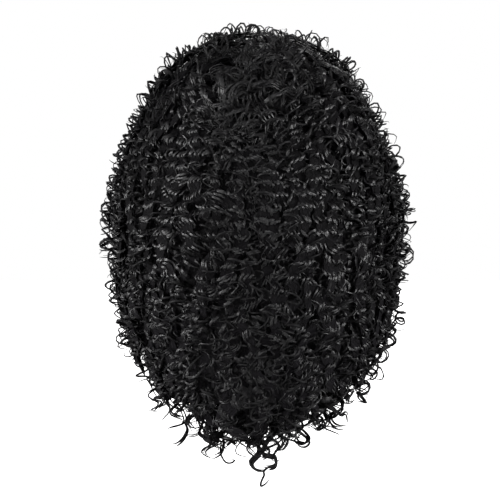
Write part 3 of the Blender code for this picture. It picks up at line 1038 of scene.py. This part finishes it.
class Nodes:
    """Short ways to add and join the nodes of a material."""

    def __init__(self, name):
        self.material = bpy.data.materials.new(name)
        self.material.use_nodes = True
        self.tree = self.material.node_tree
        self.shader = self.tree.nodes["Principled BSDF"]

    def add(self, kind, inputs=None, output=0, **settings):
        """One output of a new node with these inputs and settings."""
        node = self.tree.nodes.new(kind)
        for key, value in settings.items():
            setattr(node, key, value)
        for key, value in (inputs or {}).items():
            self.put(node.inputs[key], value)
        return node.outputs[output]

    def put(self, socket, value):
        if isinstance(value, bpy.types.NodeSocket):
            self.tree.links.new(value, socket)
        else:
            socket.default_value = value

    def maths(self, operation, *values):
        return self.add("ShaderNodeMath", dict(enumerate(values)), operation=operation)

    def place(self):
        return self.add("ShaderNodeTexCoord", output="Object")

    def spread(self, value, low, high):
        """A value between 0 and 1 spread over another range."""
        return self.add("ShaderNodeMapRange", {"Value": value, "To Min": low, "To Max": high})

    def share(self, value, low, high):
        """How far a value has come from one bound to another, between 0 and 1."""
        return self.add("ShaderNodeMapRange", {"Value": value, "From Min": low, "From Max": high})

    def scaled(self, colour, factor):
        return self.add("ShaderNodeVectorMath", {0: colour, "Scale": factor}, operation="SCALE")

    def blend(self, share, first, second):
        """A colour between two others. The inputs and the output are the ones for colours."""
        return self.add("ShaderNodeMix", {0: share, 6: first, 7: second}, output=2, data_type="RGBA")

    def finish(self, colour, roughness, height, strength, distance, gloss):
        """Joins colour, roughness, relief and gloss to the shader and gives the material."""
        relief = {"Height": height, "Strength": strength, "Distance": distance}
        self.put(self.shader.inputs["Base Color"], colour)
        self.put(self.shader.inputs["Roughness"], roughness)
        self.put(self.shader.inputs["Normal"], self.add("ShaderNodeBump", relief))
        self.shader.inputs["Specular IOR Level"].default_value = gloss
        return self.material


def height_share(n):
    """0 at the height of the temples, 1 near the lower edge."""
    height = n.add("ShaderNodeSeparateXYZ", {"Vector": n.place()}, output="Z")
    return n.share(height, TEMPLE_Z, LOW_Z)


def waved(n, strand, size):
    """The place on a strand, its lines waving from side to side by a size in mm."""
    x, y, z = (n.add("ShaderNodeSeparateXYZ", {"Vector": strand}, output=axis) for axis in "XYZ")
    sine = n.maths("SINE", n.maths("MULTIPLY", y, 0.002 * math.pi / WAVE_PITCH))
    across = n.maths("MULTIPLY_ADD", sine, size, x)
    return n.add("ShaderNodeCombineXYZ", {"X": across, "Y": y, "Z": z})


def hair_material(
    name, smooth, rough, tones=HAIR_TONES, gloss=0.52, relief=0.30, lift=0.0, lines=2.2, wave=0.0
):
    """Near-black hair with fine streaks along each strand, so many lines to a mm, waving by some mm.

    Its roughness differs from lock to lock. Low down it is duller, and paler by its lift, which is
    painted light on the lower hair.
    """
    n = Nodes(name)
    strand = n.add("ShaderNodeAttribute", output="Vector", attribute_name="strand")
    lying = waved(n, strand, wave) if wave else strand
    fine = n.add("ShaderNodeMapping", {"Vector": lying, "Scale": (lines, 0.03, 90.0)})
    streak = n.add("ShaderNodeTexNoise", {"Vector": fine, "Scale": 1.0, "Detail": 2.0})
    streak = n.share(streak, 0.32, 0.68)
    broad = n.add("ShaderNodeMapping", {"Vector": strand, "Scale": (0.3, 0.05, 37.0)})
    own = n.add("ShaderNodeTexNoise", {"Vector": broad, "Scale": 1.0})
    low = height_share(n)
    dull = n.spread(low, 0.0, LOW_HAIR_DULLNESS)
    dark, light = ([tone * part for part in HAIR_TINT] + [1] for tone in tones)
    # Paler towards the lower edge by the lift: painted light.
    colour = n.scaled(n.blend(streak, dark, light), n.spread(low, 1.0, 1.0 + lift))
    roughness = n.maths("ADD", n.spread(own, smooth, rough), dull)
    return n.finish(colour, roughness, streak, relief, 0.0008, gloss)


def base_material(name, shade):
    """The shaded depth of the hair: nearly no light, rough as matted curls, and paler low down as
    painted light.
    """
    n = Nodes(name)
    curl = n.add("ShaderNodeTexNoise", {"Vector": n.place(), "Scale": 160.0, "Detail": 3.0})
    dark, light = ([shade * part for part in tone] + [1] for tone in BASE_TONES)
    # Paler towards the lower edge: painted light.
    colour = n.scaled(n.blend(curl, dark, light), n.spread(height_share(n), 1.0, 1.8))
    return n.finish(colour, n.spread(curl, 0.6, 0.9), curl, 0.9, 0.004, 0.30)


def net_material():
    """Black stretch net: threads round small gaps, crossed by rows of sewn tape."""
    n = Nodes("cap_net")
    place = n.place()
    cell = {"Vector": place, "Scale": 420.0}
    cells = n.add("ShaderNodeTexVoronoi", cell, feature="DISTANCE_TO_EDGE")
    edge = {"Value": cells, "From Min": 0.05, "From Max": 0.16, "To Min": 1.0, "To Max": 0.0}
    thread = n.add("ShaderNodeMapRange", edge)
    row = {"Vector": place, "Scale": 20.0, "Distortion": 0.4}
    rows = n.add("ShaderNodeTexWave", row, output=1, bands_direction="Z")
    tape = n.share(rows, 0.80, 0.90)
    net = n.blend(thread, NET_GAP, NET_THREAD)
    colour = n.blend(tape, net, NET_TAPE)
    height = n.maths("MAXIMUM", thread, tape)
    return n.finish(colour, n.spread(thread, 0.85, 0.60), height, 0.7, 0.0006, 0.35)


def add_camera():
    """1 mm to a pixel at the wig, with the crown's seat at pixel (257, 90) of a 500 pixel square."""
    lens, sensor, width = 100.0, 36.0, 0.500
    elevation = math.radians(4)
    aim = Vector((0.007, 0.02, -0.160))
    back = Vector((0.0, math.cos(elevation), math.sin(elevation)))
    data = bpy.data.cameras.new("camera")
    data.lens = lens
    data.sensor_width = sensor
    camera = bpy.data.objects.new("camera", data)
    bpy.context.scene.collection.objects.link(camera)
    camera.location = aim + back * (lens / sensor * width)
    camera.rotation_euler = (-back).to_track_quat("-Z", "Y").to_euler()
    bpy.context.scene.camera = camera


# Soft lamps: place, size and power. The first is up and to the left of the camera.
Lamp = namedtuple("Lamp", "name place size watts")
LAMPS = (
    Lamp("key", (1.00, 1.40, 0.60), 0.55, 10.0),
    Lamp("top", (0.20, 0.80, 1.40), 0.50, 4.5),
    Lamp("fill", (-1.50, 0.70, 0.10), 0.60, 34.0),
    Lamp("left", (1.60, 0.40, -0.10), 0.60, 35.0),
    Lamp("low", (0.20, 1.20, -1.20), 0.60, 16.0),
    Lamp("front", (-0.40, -1.50, 0.90), 0.90, 16.0),
)
LAMP_AIM = (0.0, 0.0, -0.13)
ROOM_LIGHT = 0.09
SCATTERED_LIGHT = 1.00
PAPER_WHITE = 1.0


def add_lamps():
    """Square lamps, all turned to the middle of the wig."""
    for lamp in LAMPS:
        data = bpy.data.lights.new(lamp.name, "AREA")
        data.size = lamp.size
        data.energy = lamp.watts
        light = bpy.data.objects.new(lamp.name, data)
        bpy.context.scene.collection.objects.link(light)
        light.location = lamp.place
        way = Vector(LAMP_AIM) - Vector(lamp.place)
        light.rotation_euler = way.to_track_quat("-Z", "Y").to_euler()


def add_world():
    """A surround as white as paper to the camera and in scattered light, but dim in highlights."""
    world = bpy.data.worlds.new("studio")
    bpy.context.scene.world = world
    world.use_nodes = True
    nodes, links = world.node_tree.nodes, world.node_tree.links
    rays = nodes.new("ShaderNodeLightPath")
    level = ROOM_LIGHT
    for ray, strength in (("Is Camera Ray", 1.0), ("Is Diffuse Ray", SCATTERED_LIGHT)):
        node = nodes.new("ShaderNodeMath")
        node.operation = "MULTIPLY_ADD"
        links.new(rays.outputs[ray], node.inputs[0])
        node.inputs[1].default_value = strength - ROOM_LIGHT
        if isinstance(level, float):
            node.inputs[2].default_value = level
        else:
            links.new(level, node.inputs[2])
        level = node.outputs[0]
    background = nodes["Background"]
    background.inputs["Color"].default_value = (1, 1, 1, 1)
    links.new(level, background.inputs["Strength"])


def add_floor():
    """A plain sheet of white paper, far enough down to leave the wig free."""
    bpy.ops.mesh.primitive_plane_add(size=12, location=(0, 0, -0.75))
    floor = bpy.context.object
    floor.name = "floor"
    paper = bpy.data.materials.new("paper")
    paper.use_nodes = True
    shader = paper.node_tree.nodes["Principled BSDF"]
    shader.inputs["Base Color"].default_value = (0.9, 0.9, 0.9, 1)
    shader.inputs["Emission Color"].default_value = (1, 1, 1, 1)
    shader.inputs["Emission Strength"].default_value = PAPER_WHITE
    floor.data.materials.append(paper)
    floor.visible_diffuse = False
    floor.visible_glossy = False


def main():
    hair = {
        "waves": hair_material("glossy_hair", 0.27, 0.46, tones=(0.0025, 0.0075)),
        "coils": hair_material("coiled_hair", 0.28, 0.46),
        "curls": hair_material("fine_hair", 0.45, 0.70, tones=(0.0018, 0.0053), gloss=0.22),
        # The lock cores: a darker copy of the hair, painted shade inside each lock; their lift makes
        # them paler low down, painted light.
        "cores": hair_material(
            "inner_hair",
            0.55,
            0.75,
            tones=(0.0019, 0.0047),
            gloss=0.06,
            relief=1.0,
            lift=1.2,
            lines=0.8,
            wave=1.8,
        ),
    }
    kept = {}
    for add_hair in (
        outer_locks,
        under_locks,
        hem_locks,
        inner_locks,
        face_locks,
        tail_locks,
        dangling_locks,
        loose_curls,
        wisps,
    ):
        add_hair(kept)
    for (tier, kind), strands in sorted(kept.items()):
        mesh = tube_mesh(f"{tier}_{kind}", strands, flat=kind == "waves")
        add_piece(f"{tier}_{kind}", mesh, hair[kind], (SOURCE_NODE[tier],))
    outer, lining = base_columns()
    # The lining is the base's material at a much lower shade: painted shade in the hollow of the wig.
    shadow, inside = base_material("hair_shadow", 0.60), base_material("hair_lining", 0.22)
    add_piece("hair_base", wall_mesh("hair_base", outer), shadow)
    add_piece("hair_lining", wall_mesh("hair_lining", lining), inside)
    for obj in bpy.data.objects:
        if obj.type == "MESH" and obj.name == "wig_cap":
            obj.data.materials.clear()
            obj.data.materials.append(net_material())
    add_camera()
    add_lamps()
    add_world()
    add_floor()
    bpy.context.scene.view_settings.view_transform = "Standard"


main()
